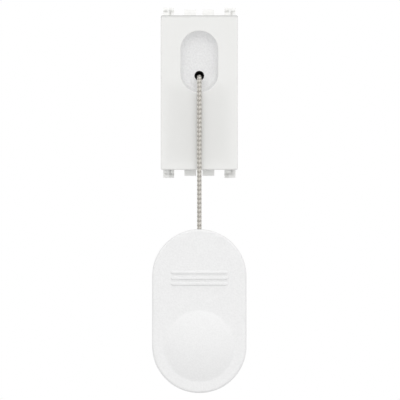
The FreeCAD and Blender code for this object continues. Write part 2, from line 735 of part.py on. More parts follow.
def pull_cord():
    """The hanging cord: straight runs joined by tangent arcs, each as large as its runs allow."""
    points = [FreeCAD.Vector(0, y, z) for y, z in CORD_ROUTE]
    edges = []
    start = points[0]
    for before, corner, after in zip(points, points[1:], points[2:]):
        inward = (before - corner).normalize()
        onward = (after - corner).normalize()
        half_turn = (math.pi - inward.getAngle(onward)) / 2
        setback = RUN_SHARE * min(corner.distanceToPoint(before), corner.distanceToPoint(after))
        radius = setback / math.tan(half_turn)
        middle_side = (inward + onward).normalize()
        middle = corner + middle_side * (radius / math.cos(half_turn) - radius)
        arc = Part.Arc(corner + inward * setback, middle, corner + onward * setback)
        edges += [Part.LineSegment(start, arc.StartPoint).toShape(), arc.toShape()]
        start = arc.EndPoint
        print(f"cord bend radius {radius:.2f} mm")
    edges.append(Part.LineSegment(start, points[-1]).toShape())
    path = Part.Wire(edges)
    section = Part.Wire(Part.Circle(points[0], points[1] - points[0], size("cord_radius")).toShape())
    tube = path.makePipeShell([section], True, True)
    expected = math.pi * size("cord_radius") ** 2 * path.Length
    print(f"cord length {path.Length:.2f} mm, volume {tube.Volume:.2f} of {expected:.2f} mm3")
    item = document.addObject("Part::Feature", "pull_cord")
    item.Label = "pull_cord"
    item.Shape = tube
    return item


def tab_shell(label, facing):
    """One half of the tab: a domed hollow shell, half of the knot's pocket, and pegs or their sockets."""
    body = new_body(label)
    side = 1 if facing == "+" else -1
    skin = f"tab_y {facing} tab_half_depth"
    inside = f"tab_y {facing} (tab_half_depth - tab_wall)"
    skin_y = size("tab_y") + side * size("tab_half_depth")
    inside_y = skin_y - side * size("tab_wall")
    pad(body, "tab_blank", "Y", *span(facing, skin), stadium("tab_radius", "tab_foot", "tab_span"))
    rounded(body, "tab_edge", "tab_edge_radius", lambda edge: lies_at(edge, skin_y))
    turned(body, "dome", cap(facing, skin, skin_y, "dome_radius"))
    pocket(body, "tab_hollow", "Y", *span(facing, inside),
           stadium("tab_radius", "tab_foot", "tab_span", "tab_wall"))
    turned(body, "dome_hollow", cap(facing, inside, inside_y, "dome_hollow_radius"), cut=True)
    pad(body, "knot_block", "Y", *span(facing, skin),
        rectangle("-block_half_width", "block_half_width", "block_low", "block_high"))
    spots = [("peg_x", "peg_high"), ("-peg_x", "peg_high"), ("0", "peg_low")]
    pad(body, "bosses", "Y", *span(facing, skin),
        *[disc(across, up, "boss_radius") for across, up in spots])
    peg_or_socket = pad if facing == "-" else pocket
    peg_or_socket(body, "pegs", "Y", "tab_y", "tab_y + peg_length",
                  *[disc(across, up, "peg_radius") for across, up in spots])
    pocket(body, "knot_pocket", "Z", "pocket_low", "pocket_high", disc("0", "tab_y", "pocket_radius"))
    pocket(body, "cord_inlet", "Z", "pocket_high", "tab_span + tab_radius",
           disc("0", "tab_y", "inlet_radius"))
    if facing == "-":
        pad(body, "grip_bars", "Y", f"{skin} - grip_height", skin,
            *[centred("grip_half_width", "grip_half_height", f"grip_up + {step} * grip_pitch")
              for step in (-1, 0, 1)])
    place(body, z="tab_low_z")
    return body


def span(facing, outer):
    """From a tab layer to the tab's parting plane, lower place first."""
    return (outer, "tab_y") if facing == "-" else ("tab_y", outer)


def cap(facing, foot, foot_y, radius):
    """Outline of the low dome on the turning axis, closed back to the tab's parting plane.

    foot is the expression for the dome's foot, and foot_y is its value.
    """
    def draw(sketch):
        wide = size(radius)
        rise = size("dome_height") if facing == "+" else -size("dome_height")
        crown_y = foot_y + rise
        base_y = size("tab_y")
        centre_y = foot_y + (rise ** 2 - wide ** 2) / (2 * rise)
        ball = abs(crown_y - centre_y)
        lean = math.asin(wide / ball)
        outward = 0 if crown_y > centre_y else math.pi
        low, high = sorted((outward, outward + lean if outward == 0 else outward - lean))
        circle = Part.Circle(FreeCAD.Vector(centre_y, 0, 0), FreeCAD.Vector(0, 0, 1), ball)
        arc = sketch.addGeometry(Part.ArcOfCircle(circle, low, high))
        crown_end, foot_end = (1, 2) if outward == 0 else (2, 1)
        corners = [(crown_y, 0), (base_y, 0), (base_y, wide), (foot_y, wide)]
        vectors = [FreeCAD.Vector(across, up, 0) for across, up in corners]
        lines = [sketch.addGeometry(Part.LineSegment(a, b)) for a, b in zip(vectors, vectors[1:])]
        for one, one_end, two, two_end in ((arc, crown_end, lines[0], 1), (lines[0], 2, lines[1], 1),
                                           (lines[1], 2, lines[2], 1), (lines[2], 2, arc, foot_end)):
            sketch.addConstraint(Sketcher.Constraint("Coincident", one, one_end, two, two_end))
        sketch.addConstraint(Sketcher.Constraint("PointOnObject", arc, 3, -1))
        sketch.addConstraint(Sketcher.Constraint("Vertical", lines[1]))
        sketch.addConstraint(Sketcher.Constraint("Horizontal", lines[2]))
        sketch.addConstraint(Sketcher.Constraint("PointOnObject", lines[0], 1, -1))
        sketch.addConstraint(Sketcher.Constraint("PointOnObject", lines[1], 1, -1))
        bind(sketch, "DistanceX", lines[0], 1, crown_y, f"{foot} {facing} dome_height")
        bind(sketch, "DistanceX", lines[1], 1, base_y, "tab_y")
        bind(sketch, "DistanceX", lines[2], 2, foot_y, foot)
        bind(sketch, "DistanceY", lines[2], 2, wide, radius)
    return draw


# ---------------------------------------------------------------- assembly and output

parts = [
    front_cover(),
    clip_frame(),
    cord_bush(),
    rear_housing(),
    terminal_base(),
    lever_pin(),
    lever(),
    plunger(),
    contact_bridge(),
    contact_tips("bridge_contacts", "bridge_rear_y", "tip_rear_y", "tip_radius"),
    contact_tips("fixed_contacts", "fixed_tip_front_y", "bar_front_y", "fixed_tip_radius"),
    coil_spring("return_spring", "cage_rear_y", "well_floor_y",
                "return_coil_radius", "return_wire_radius", "return_turns"),
    coil_spring("contact_spring", "cage_window_front_y", "bridge_front_y",
                "contact_coil_radius", "contact_wire_radius", "contact_turns"),
    terminal_bar("upper_terminal_bar", "-", "+", "plunger_z - bar_end_gap"),
    terminal_bar("lower_terminal_bar", "+", "-", "plunger_z + bar_end_gap"),
    clamp_saddles(),
    terminal_screws(),
    inner_cord(),
    knot("inner_knot", "knot_y", "cord_z"),
    pull_cord(),
    knot("tab_cord_knot", "tab_y", "tab_low_z + pocket_high - tab_knot_gap - knot_radius"),
    tab_shell("tab_front_shell", "-"),
    tab_shell("tab_rear_shell", "+"),
]
document.recompute()

failed = [item.Label for item in document.Objects if {"Invalid", "Error"} & set(item.State)]
failed += [part.Label for part in parts if part.Shape.isNull() or not part.Shape.isValid()]
idle = [item.Name for item in document.Objects
        if item.TypeId in ("PartDesign::Pocket", "PartDesign::Groove", "PartDesign::SubtractiveLoft")
        and item.Shape.Volume > item.BaseFeature.Shape.Volume - TOUCH]
if failed or idle:
    raise RuntimeError(f"failed: {failed}; cuts that remove nothing: {idle}")

for part in parts:
    part.Shape.exportStep(os.path.join(PARTS_FOLDER, f"{part.Label}.step"))
    print(f"{part.Label}: {len(part.Shape.Solids)} solid, {part.Shape.Volume:.1f} mm3")
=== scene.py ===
import json
import math

import bmesh
import bpy
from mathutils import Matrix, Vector


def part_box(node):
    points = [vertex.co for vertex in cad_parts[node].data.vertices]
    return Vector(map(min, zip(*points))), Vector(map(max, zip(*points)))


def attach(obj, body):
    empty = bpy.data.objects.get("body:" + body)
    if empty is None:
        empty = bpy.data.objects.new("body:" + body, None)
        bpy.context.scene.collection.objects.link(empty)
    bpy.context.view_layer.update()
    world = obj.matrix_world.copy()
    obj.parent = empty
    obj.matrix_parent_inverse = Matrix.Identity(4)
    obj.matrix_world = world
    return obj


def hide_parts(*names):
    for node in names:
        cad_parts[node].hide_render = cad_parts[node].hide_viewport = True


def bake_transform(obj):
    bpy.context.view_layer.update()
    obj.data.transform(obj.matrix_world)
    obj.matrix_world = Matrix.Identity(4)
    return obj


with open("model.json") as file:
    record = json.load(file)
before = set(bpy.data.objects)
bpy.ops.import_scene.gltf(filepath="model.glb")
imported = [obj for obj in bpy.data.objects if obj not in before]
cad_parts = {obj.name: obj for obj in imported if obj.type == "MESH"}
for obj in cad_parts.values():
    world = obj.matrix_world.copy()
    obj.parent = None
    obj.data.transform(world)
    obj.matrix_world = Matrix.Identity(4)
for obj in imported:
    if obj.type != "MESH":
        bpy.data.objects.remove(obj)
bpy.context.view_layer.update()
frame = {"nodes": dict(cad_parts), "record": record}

MM = 0.001

# The module's main places, in millimetres, in the frame of the CAD model.
FACE_Y = -8.5
BUSH_Z = 4.9
CORD_Z = 4.6
CORD_DIAMETER = 1.4
BUSH_FRONT_Y = -6.0
TAB_Y = -9.4
TAB_LOW_Z = -73.7

# The hanging cord's route as (y, z), from inside the bush down to the knot in the tab.
CORD_ROUTE = [(-4.2, 4.6), (-6.2, 4.6), (-9.4, 1.4), (-9.4, -7.0), (-9.4, -42.2)]
CORD_SAMPLES = 640
BRAID_STEP = 0.11 * MM


# ---------------------------------------------------------------- camera and picture

def make_camera():
    """A long lens square to the face, so far off that the object looks flat."""
    distance = 2.5
    width_seen = 116.4 * MM
    sensor = 36.0
    camera = bpy.data.objects.new("camera", bpy.data.cameras.new("camera"))
    bpy.context.scene.collection.objects.link(camera)
    camera.data.sensor_width = sensor
    camera.data.lens = sensor * distance / width_seen
    camera.data.clip_start = 0.05
    camera.data.clip_end = 20
    camera.location = (0.2 * MM, FACE_Y * MM - distance, -31.3 * MM)
    camera.rotation_euler = (math.radians(90), 0, 0)
    bpy.context.scene.camera = camera
    bpy.context.scene.view_settings.view_transform = "Standard"


make_camera()


# ---------------------------------------------------------------- materials

def material(slot, colour, roughness, **settings):
    """A Principled material with its constants on the shader's own sockets."""
    made = bpy.data.materials.new(slot)
    made.use_nodes = True
    shader = made.node_tree.nodes["Principled BSDF"]
    shader.inputs["Base Color"].default_value = (*colour, 1)
    shader.inputs["Roughness"].default_value = roughness
    for name, value in settings.items():
        shader.inputs[name.replace("_", " ")].default_value = value
    return made


def noise(made, per_mm, detail=3.0, stretch=(1, 1, 1)):
    """A noise pattern fixed to the object, with about so many grains to the millimetre."""
    nodes, links = made.node_tree.nodes, made.node_tree.links
    place = nodes.new("ShaderNodeTexCoord")
    mapping = nodes.new("ShaderNodeMapping")
    mapping.inputs["Scale"].default_value = stretch
    pattern = nodes.new("ShaderNodeTexNoise")
    pattern.inputs["Scale"].default_value = per_mm / MM
    pattern.inputs["Detail"].default_value = detail
    links.new(place.outputs["Object"], mapping.inputs["Vector"])
    links.new(mapping.outputs["Vector"], pattern.inputs["Vector"])
    return pattern.outputs["Fac"]


def spread(made, source, low, high):
    """Spreads a pattern's middle range over low to high."""
    ranger = made.node_tree.nodes.new("ShaderNodeMapRange")
    ranger.inputs["From Min"].default_value = 0.3
    ranger.inputs["From Max"].default_value = 0.7
    ranger.inputs["To Min"].default_value = low
    ranger.inputs["To Max"].default_value = high
    made.node_tree.links.new(source, ranger.inputs["Value"])
    return ranger.outputs["Result"]


def roughen(made, source, low, high):
    """Lets a pattern vary the gloss."""
    shader = made.node_tree.nodes["Principled BSDF"]
    made.node_tree.links.new(spread(made, source, low, high), shader.inputs["Roughness"])


def tint(made, source, dark, light):
    """Colours the surface between two close tones."""
    nodes, links = made.node_tree.nodes, made.node_tree.links
    mix = nodes.new("ShaderNodeMix")
    mix.data_type = "RGBA"
    mix.inputs["A"].default_value = (*dark, 1)
    mix.inputs["B"].default_value = (*light, 1)
    links.new(spread(made, source, 0, 1), mix.inputs["Factor"])
    links.new(mix.outputs["Result"], nodes["Principled BSDF"].inputs["Base Color"])


def bump(made, source, height_mm):
    """Raises a pattern by its height in millimetres."""
    nodes, links = made.node_tree.nodes, made.node_tree.links
    relief = nodes.new("ShaderNodeBump")
    relief.inputs["Strength"].default_value = 1.0
    relief.inputs["Distance"].default_value = height_mm * MM
    links.new(source, relief.inputs["Height"])
    links.new(relief.outputs["Normal"], nodes["Principled BSDF"].inputs["Normal"])


def toned(colour, share):
    """A colour made darker, or lighter with a share over 1."""
    return tuple(channel * share for channel in colour)


def moulded(name, colour, roughness, grain_mm, height_mm, **settings):
    """Moulded plastic: a fine tool texture, faint flow marks in the tone and uneven gloss."""
    made = material(name, colour, roughness, **settings)
    tint(made, noise(made, 0.08, 2.0), toned(colour, 0.985), colour)
    roughen(made, noise(made, 0.5, 4.0), roughness * 0.9, roughness * 1.1)
    bump(made, noise(made, 1 / grain_mm, 4.0), height_mm)
    return made


def speckled_with_painted_shade(name, colour, roughness, grain_mm, height_mm, depth, **settings):
    """Spark-eroded plastic: a grain bump, with the same grain painted into the colour as painted highlights
    on the grains and painted shade in the hollows between them.
    """
    made = material(name, colour, roughness, **settings)
    grain = noise(made, 1 / grain_mm, 2.0)
    # Painted light and shade: the tint follows the bump's grain, lighter on the high grains and darker in the
    # hollows.
    tint(made, grain, toned(colour, 1 - depth), toned(colour, 1 + depth / 2))
    roughen(made, noise(made, 0.5, 4.0), roughness * 0.9, roughness * 1.1)
    bump(made, grain, height_mm)
    return made


def metal(name, colour, roughness, stretch, **settings):
    """Drawn or rolled metal: long fine scratches and slow changes of tone."""
    made = material(name, colour, roughness, Metallic=1.0, **settings)
    tint(made, noise(made, 0.4, 3.0), toned(colour, 0.85), colour)
    scratches = noise(made, 6.0, 4.0, stretch)
    roughen(made, scratches, roughness * 0.7, roughness * 1.3)
    bump(made, scratches, 0.006)
    return made


def yarn(name, colour):
    """Twisted polyester yarn: fine fibres along the strands, a little sheen."""
    made = material(name, colour, 0.62, Sheen_Weight=0.25, Sheen_Roughness=0.4)
    fibres = noise(made, 14.0, 3.0, (1, 1, 0.35))
    tint(made, fibres, toned(colour, 0.72), colour)
    bump(made, fibres, 0.03)
    return made


FACE_WHITE = (0.795, 0.795, 0.78)
# Painted light: the frame's white is lighter than the face's, making up for the shade the frame sits in
# behind the cover.
FRAME_WHITE_PAINTED_LIGHT = (0.93, 0.93, 0.915)
RECESS_WHITE = (0.805, 0.805, 0.805)
TAB_WHITE = (0.83, 0.83, 0.83)

MATERIALS = {
    "gloss_white": moulded("gloss_white", FACE_WHITE, 0.06, 1.2, 0.0005, Coat_Weight=0.35,
                           Coat_Roughness=0.03),
    "frame_white_painted_light": moulded("frame_white_painted_light", FRAME_WHITE_PAINTED_LIGHT, 0.35, 0.5, 0.004),
    "recess_white": speckled_with_painted_shade("recess_white", RECESS_WHITE, 0.6, 0.5, 0.12, 0.07),
    "matt_white": speckled_with_painted_shade("matt_white", TAB_WHITE, 0.5, 0.45, 0.03, 0.035),
    "black_plastic": moulded("black_plastic", (0.004, 0.004, 0.004), 0.5, 0.4, 0.01,
                             Specular_IOR_Level=0.15),
    "grey_housing": moulded("grey_housing", (0.36, 0.37, 0.38), 0.5, 0.25, 0.02),
    "natural_acetal": moulded("natural_acetal", (0.78, 0.76, 0.70), 0.35, 0.6, 0.008,
                              Subsurface_Weight=0.08, Subsurface_Scale=0.5 * MM),
    "zinc_steel": metal("zinc_steel", (0.62, 0.64, 0.66), 0.3, (1, 1, 0.2)),
    "spring_steel": metal("spring_steel", (0.5, 0.5, 0.5), 0.25, (1, 0.2, 1)),
    "brass": metal("brass", (0.75, 0.55, 0.24), 0.28, (1, 1, 0.1)),
    "silver_contact": metal("silver_contact", (0.83, 0.82, 0.79), 0.2, (0.4, 1, 1)),
    "braided_cord": yarn("braided_cord", (0.78, 0.75, 0.70)),
    # Painted shade: a darker copy of the cord's yarn for the strands that wind one way.
    "braid_painted_shade": yarn("braid_painted_shade", (0.46, 0.435, 0.39)),
    # Painted shadow: a near-black core yarn that darkens the gaps between the strands.
    "braid_core_painted_shadow": yarn("braid_core_painted_shadow", (0.16, 0.15, 0.13)),
}
NODE_SLOTS = {part["node"]: part["material_slot"] for part in frame["record"]["subparts"]}


def stand_for(node):
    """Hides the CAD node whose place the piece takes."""
    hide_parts(node)


def body_of(node):
    """The body that a CAD node belongs to."""
    bodies = frame["record"]["behaviour"]["bodies"]
    return next(body for body, members in bodies.items() if node in members)


# ---------------------------------------------------------------- cord

def millimetres(points):
    """Points given in millimetres, as vectors in metres."""
    return [Vector(point) * MM for point in points]


def route_line(points):
    """Points along the smooth NURBS line that a route's points control."""
    curve = bpy.data.curves.new("route", "CURVE")
    curve.dimensions = "3D"
    spline = curve.splines.new("NURBS")
    spline.points.add(len(points) - 1)
    for control, point in zip(spline.points, points):
        control.co = (*point, 1)
    spline.order_u = 3
    spline.use_endpoint_u = True
    spline.resolution_u = CORD_SAMPLES // len(points)
    holder = bpy.data.objects.new("route", curve)
    bpy.context.scene.collection.objects.link(holder)
    bpy.context.view_layer.update()
    mesh = bpy.data.meshes.new_from_object(holder)
    line = [vertex.co.copy() for vertex in mesh.vertices]
    bpy.data.objects.remove(holder)
    bpy.data.meshes.remove(mesh)
    return line


def evenly(line, step):
    """The same line with points at even distances."""
    lengths = [0.0]
    for a, b in zip(line, line[1:]):
        lengths.append(lengths[-1] + (b - a).length)
    count = max(2, round(lengths[-1] / step))
    points = []
    at = 0
    for i in range(count + 1):
        goal = lengths[-1] * i / count
        while at < len(line) - 2 and lengths[at + 1] < goal:
            at += 1
        share = (goal - lengths[at]) / max(lengths[at + 1] - lengths[at], 1e-12)
        points.append(line[at].lerp(line[at + 1], min(share, 1.0)))
    return points


def side_frames(line):
    """Two directions square to the line at each of its points, carried along without twist."""
    side = None
    frames = []
    for i, point in enumerate(line):
        ahead = (line[min(i + 1, len(line) - 1)] - line[max(i - 1, 0)]).normalized()
        if side is None:
            side = ahead.cross(Vector((0.3, 0.2, 0.93))).normalized()
        side = (side - ahead * side.dot(ahead)).normalized()
        frames.append((side, ahead.cross(side)))
    return frames


def sweep(bm, line, half_width, half_thickness=None, closed=False, lean=None, sides=8):
    """Adds a tube of oval section along a line; lean gives its thickness direction at each point."""
    half_thickness = half_thickness or half_width
    frames = side_frames(line)
    rings = []
    for i, point in enumerate(line):
        across, out = frames[i]
        if lean:
            ahead = (line[min(i + 1, len(line) - 1)] - line[max(i - 1, 0)]).normalized()
            out = (lean[i] - ahead * lean[i].dot(ahead)).normalized()
            across = out.cross(ahead)
        ring = []
        for k in range(sides):
            turn = 2 * math.pi * k / sides
            offset = across * (math.cos(turn) * half_width) + out * (math.sin(turn) * half_thickness)
            ring.append(bm.verts.new(point + offset))
        rings.append(ring)
    pairs = list(zip(rings, rings[1:]))
    if closed:
        pairs.append((rings[-1], rings[0]))
    for a, b in pairs:
        for k in range(sides):
            following = (k + 1) % sides
            bm.faces.new((a[k], a[following], b[following], b[k]))
    if not closed:
        bm.faces.new(rings[0][::-1])
        bm.faces.new(rings[-1])


def finished(name, bm, look=None, sharp_degrees=None):
    """Turns a bmesh into a linked, smooth-shaded object."""
    bmesh.ops.recalc_face_normals(bm, faces=bm.faces)
    mesh = bpy.data.meshes.new(name)
    bm.to_mesh(mesh)
    bm.free()
    mesh.shade_smooth()
    if sharp_degrees:
        mesh.set_sharp_from_angle(angle=math.radians(sharp_degrees))
    if look:
        mesh.materials.append(look)
    item = bpy.data.objects.new(name, mesh)
    bpy.context.scene.collection.objects.link(item)
    return item


def braid(name, line, radius, closed=False):
    """Eight strands braided round a core: four wind each way and pass over and under in turn. One way's
    strands take a darker copy of the yarn as painted shade, and the core is near black as painted shadow in
    the gaps between strands.
    """
    strands_each_way = 4
    lay_length = 5.2 * MM
    strand_half_width = radius * 0.42
    strand_half_thickness = radius * 0.24
    mean_radius = radius - strand_half_thickness * 1.8
    weave = strand_half_thickness * 0.8
    frames = side_frames(line)
    travelled = [0.0]
    for a, b in zip(line, line[1:]):
        travelled.append(travelled[-1] + (b - a).length)
    bm = bmesh.new()
    sweep(bm, line, mean_radius - weave, closed=closed)
    core_faces = len(bm.faces)
    for way in (1, -1):
        for strand in range(strands_each_way):
            start = 2 * math.pi * strand / strands_each_way
            points = []
            outward = []
            for point, (across, out), far in zip(line, frames, travelled):
                turn = way * 2 * math.pi * far / lay_length + start
                wave = math.cos(strands_each_way * 2 * math.pi * far / lay_length)
                direction = across * math.cos(turn) + out * math.sin(turn)
                points.append(point + direction * (mean_radius + way * weave * wave))
                outward.append(direction)
            sweep(bm, points, strand_half_width, strand_half_thickness, lean=outward, closed=closed)
    half_faces = core_faces + (len(bm.faces) - core_faces) // 2
    # The strands of the second way take the darker copy of the yarn, painted shade.
    light, shade, core = 0, 1, 2
    for index, face in enumerate(bm.faces):
        face.material_index = core if index < core_faces else (light if index < half_faces else shade)
    piece = finished(name, bm, MATERIALS["braided_cord"])
    piece.data.materials.append(MATERIALS["braid_painted_shade"])
    # The near-black core paints the shadow in the gaps between the strands.
    piece.data.materials.append(MATERIALS["braid_core_painted_shadow"])
    return piece


def hanging_cord():
    """The cord in view: out of the bush, over the bend and straight down into the tab."""
    line = evenly(route_line(millimetres([(0, y, z) for y, z in CORD_ROUTE])), BRAID_STEP)
    cord = braid("hanging_braid", line, CORD_DIAMETER / 2 * MM)
    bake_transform(cord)
    stand_for("pull_cord")
    knot = stopper_knot("tab_knot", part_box("tab_cord_knot"), "Z", "cord_end", "tab_cord_knot")


def stopper_knot(name, corners, axis, body, node):
    """A tight overhand knot of the braided cord, as wide as the CAD model's ball."""
    low, high = corners
    centre = (low + high) / 2
    reach = (high.x - low.x) / 2
    tube = 0.6 * MM
    loop = (reach - tube) / 3
    rise = tube * 1.1
    points = []
    steps = 240
    for i in range(steps):
        t = 2 * math.pi * i / steps
        across = (math.sin(t) + 2 * math.sin(2 * t)) * loop
        along = (math.cos(t) - 2 * math.cos(2 * t)) * loop
        lift = -math.sin(3 * t) * rise
        offset = Vector((across, along, lift)) if axis == "Z" else Vector((across, lift, along))
        points.append(centre + offset)
    knot = braid(name, points, tube, closed=True)
    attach(knot, body)
    stand_for(node)
    return knot


def inner_cord():
    """The cord's straight run inside the casing, from the bush to the knot behind the lever."""
    low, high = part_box("inner_cord")
    into_knot = 0.5 * MM
    line = evenly([Vector((0, low.y, CORD_Z * MM)), Vector((0, high.y + into_knot, CORD_Z * MM))], BRAID_STEP)
    cord = braid("inner_braid", line, CORD_DIAMETER / 2 * MM)
    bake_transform(cord)
    stand_for("inner_cord")
    stopper_knot("lever_knot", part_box("inner_knot"), "Y", "inner_cord_end", "inner_knot")


# ---------------------------------------------------------------- lofted shells

CORNER_STEPS = 20


def outline(half_width, low, high, corner, y):
    """An upright rounded rectangle, or with full corners a stadium or circle, as a ring of points."""
    middles = [(half_width - corner, high - corner), (corner - half_width, high - corner),
               (corner - half_width, low + corner), (half_width - corner, low + corner)]
    ring = []
    for quarter, (across, up) in enumerate(middles):
        for step in range(CORNER_STEPS + 1):
            turn = math.pi / 2 * (quarter + step / CORNER_STEPS)
            ring.append(Vector((across + corner * math.cos(turn), y, up + corner * math.sin(turn))) * MM)
    return ring


def stadium(radius, low_centre, high_centre, y):
    """A ring of two half circles joined by straight sides."""
    return outline(radius, low_centre - radius, high_centre + radius, radius, y)


def circle(radius, centre, y):
    return stadium(radius, centre, centre, y)


def apex(centre, y):
    """A ring of one point, which closes a loft."""
    return [Vector((0, y, centre)) * MM]


def quarter_round(radius, steps):
    """Steps down a rounded edge, as (inset from the side, drop from the top)."""
    turns = [math.pi / 2 * i / steps for i in range(steps + 1)]
    return [(radius * (1 - math.sin(turn)), radius * (1 - math.cos(turn))) for turn in turns]


def loft(bm, rings, slots=None, closed=False):
    """Joins rings of points, or an apex, with faces; slots number each band's material."""
    made = [[bm.verts.new(point) for point in ring] for ring in rings]
    pairs = list(zip(made, made[1:]))
    if closed:
        pairs.append((made[-1], made[0]))
    for band, (a, b) in enumerate(pairs):
        count = max(len(a), len(b))
        for k in range(count):
            following = (k + 1) % count
            corners = [ring[i] for ring, i in ((a, k), (a, following), (b, following), (b, k))
                       if len(ring) > 1]
            corners += [ring[0] for ring in (a, b) if len(ring) == 1]
            bm.faces.new(corners).material_index = slots[band] if slots else 0
    bmesh.ops.remove_doubles(bm, verts=bm.verts, dist=1e-7)


def lofted(name, rings, materials, slots=None, closed=False):
    """A smooth-shaded object with the lofted faces and its materials."""
    bm = bmesh.new()
    loft(bm, rings, slots, closed)
    piece = finished(name, bm)
    for item in materials:
        piece.data.materials.append(item)
    return piece


def rod(axis, low, high, radius, across=0.0, other=0.0):
    """A round bar along Y or Z between two places, used to cut or join."""
    sides = 48
    bm = bmesh.new()
    ends = []
    for place in (low, high):
        ring = []
        for k in range(sides):
            turn = 2 * math.pi * k / sides
            one, two = across + radius * math.cos(turn), other + radius * math.sin(turn)
            ring.append(bm.verts.new(Vector((one, place, two) if axis == "Y" else (one, two, place)) * MM))
        ends.append(ring)
    for k in range(sides):
        following = (k + 1) % sides
        bm.faces.new((ends[0][k], ends[0][following], ends[1][following], ends[1][k]))
    for ring in ends:
        bm.faces.new(ring)
    return finished("rod", bm)


def block(low, high):
    """A box between two corners, used to cut or join."""
    bm = bmesh.new()
    bmesh.ops.create_cube(bm, size=1)
    low, high = Vector(low), Vector(high)
    for vertex in bm.verts:
        vertex.co = (low + Vector((vertex.co[i] + 0.5) * (high - low)[i] for i in range(3))) * MM
    return finished("block", bm)


def settle(piece):
    """Applies the piece's modifiers to its mesh."""
    bpy.context.view_layer.update()
    evaluated = piece.evaluated_get(bpy.context.evaluated_depsgraph_get())
    mesh = bpy.data.meshes.new_from_object(evaluated)
    mesh.name = piece.name
    piece.modifiers.clear()
    piece.data = mesh


def carve(piece, operation, tools):
    """Cuts tools from a piece or joins them to it, and removes the tools."""
    for tool in tools:
        step = piece.modifiers.new("carve", "BOOLEAN")
        step.object = tool
        step.operation = operation
        step.solver = "EXACT"
        settle(piece)
        bpy.data.objects.remove(tool)


def crisp(piece, degrees=30.0):
    """Smooth shading with sharp creases, weighted so that flat faces stay flat."""
    piece.data.shade_smooth()
    piece.data.set_sharp_from_angle(angle=math.radians(degrees))
    weighted = piece.modifiers.new("weighted", "WEIGHTED_NORMAL")
    weighted.keep_sharp = True
    weighted.weight = 80
    settle(piece)


# ---------------------------------------------------------------- front cover

def front_cover():
    """One closed shell: face, scooped recess with an eroded floor, soft edges, four locating pins."""
    half_width, half_height, corner = 11.2, 22.5, 0.45
    edge, rim, wall = 0.3, 0.15, 1.4
    bevel_height, bevel_depth = 0.65, 1.4
    back_y, floor_y, recess_back_y = -2.2, -5.9, -4.6
    hole, mouth, floor, backing = 1.4, 5.45, 3.6, 6.6
    low, mouth_high, floor_high = 5.45, 12.45, 9.6
    steps, scoop = 20, 3.6
    hole_lip, rear_edge, margin, inner_corner = 0.06, 0.1, 0.1, 0.2
    pin_radius, pin_across, pin_up = 0.5, 10.2, 15
    gloss, eroded = 0, 1

    bands = [(circle(hole, BUSH_Z, recess_back_y), eroded)]
    bands += [(circle(hole + inset, BUSH_Z, floor_y + drop), eroded)
              for inset, drop in reversed(quarter_round(hole_lip, 3))]
    for i in range(steps + 1):
        out = i / steps
        rise = (FACE_Y + rim - floor_y) * out ** scoop
        high = floor_high + (mouth_high - floor_high) * out
        bands.append((stadium(floor + (mouth - floor) * out, low, high, floor_y + rise), eroded))
    bands += [(stadium(mouth + inset, low, mouth_high, FACE_Y + drop), gloss)
              for inset, drop in reversed(quarter_round(rim, 4))][1:]
    bands.append((stadium(mouth + rim + margin, low, mouth_high, FACE_Y), gloss))
    for inset, drop in [(edge + margin, 0)] + quarter_round(edge, 6) + [(0, bevel_depth)]:
        lowered = bevel_height * (1 - drop / bevel_depth)
        bands.append((outline(half_width - inset, inset - half_height, half_height - max(inset, lowered),
                              max(corner - inset, 0.05), FACE_Y + drop), gloss))
    for inset, drop in reversed(quarter_round(rear_edge, 2)):
        bands.append((outline(half_width - inset, inset - half_height, half_height - inset,
                              corner - inset, back_y - drop), gloss))
    for y in (back_y, FACE_Y + wall):
        bands.append((outline(half_width - wall, wall - half_height, half_height - wall,
                              inner_corner, y), eroded))
    for y in (FACE_Y + wall, recess_back_y):
        bands.append((stadium(backing, low, mouth_high, y), eroded))
    rings, slots = zip(*bands)
    whites = [MATERIALS["gloss_white"], MATERIALS["recess_white"]]
    cover = lofted("face_cover", rings, whites, slots, closed=True)
    pins = [rod("Y", back_y - 0.5, back_y + 1.5, pin_radius, side * pin_across, end * pin_up)
            for side in (1, -1) for end in (1, -1)]
    carve(cover, "UNION", pins)
    crisp(cover)
    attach(cover, "casing")
    stand_for("front_cover")


def cord_bush():
    """The black guide: a bore that flares smoothly to its mouth, with a flange behind the recess."""
    bore, outer, flange = 1.05, 1.37, 2.1
    flare, rim, chamfer = 0.24, 0.06, 0.1
    rear_y, shoulder_y = -3.8, -4.6
    rings = [circle(bore + inset, BUSH_Z, rear_y - drop) for inset, drop in quarter_round(flare, 4)]
    rings += [circle(bore + inset, BUSH_Z, BUSH_FRONT_Y + drop)
              for inset, drop in reversed(quarter_round(flare, 8))]
    rings += [circle(outer - inset, BUSH_Z, BUSH_FRONT_Y + drop) for inset, drop in quarter_round(rim, 3)]
    rings += [circle(outer, BUSH_Z, shoulder_y), circle(flange - chamfer, BUSH_Z, shoulder_y)]
    rings += [circle(flange, BUSH_Z, shoulder_y + chamfer), circle(flange, BUSH_Z, rear_y - chamfer),
              circle(flange - chamfer, BUSH_Z, rear_y)]
    bush = lofted("guide_bush", rings, [MATERIALS["black_plastic"]], closed=True)
    crisp(bush, 40)
    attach(bush, "casing")
    stand_for("cord_bush")


# ---------------------------------------------------------------- pull tab

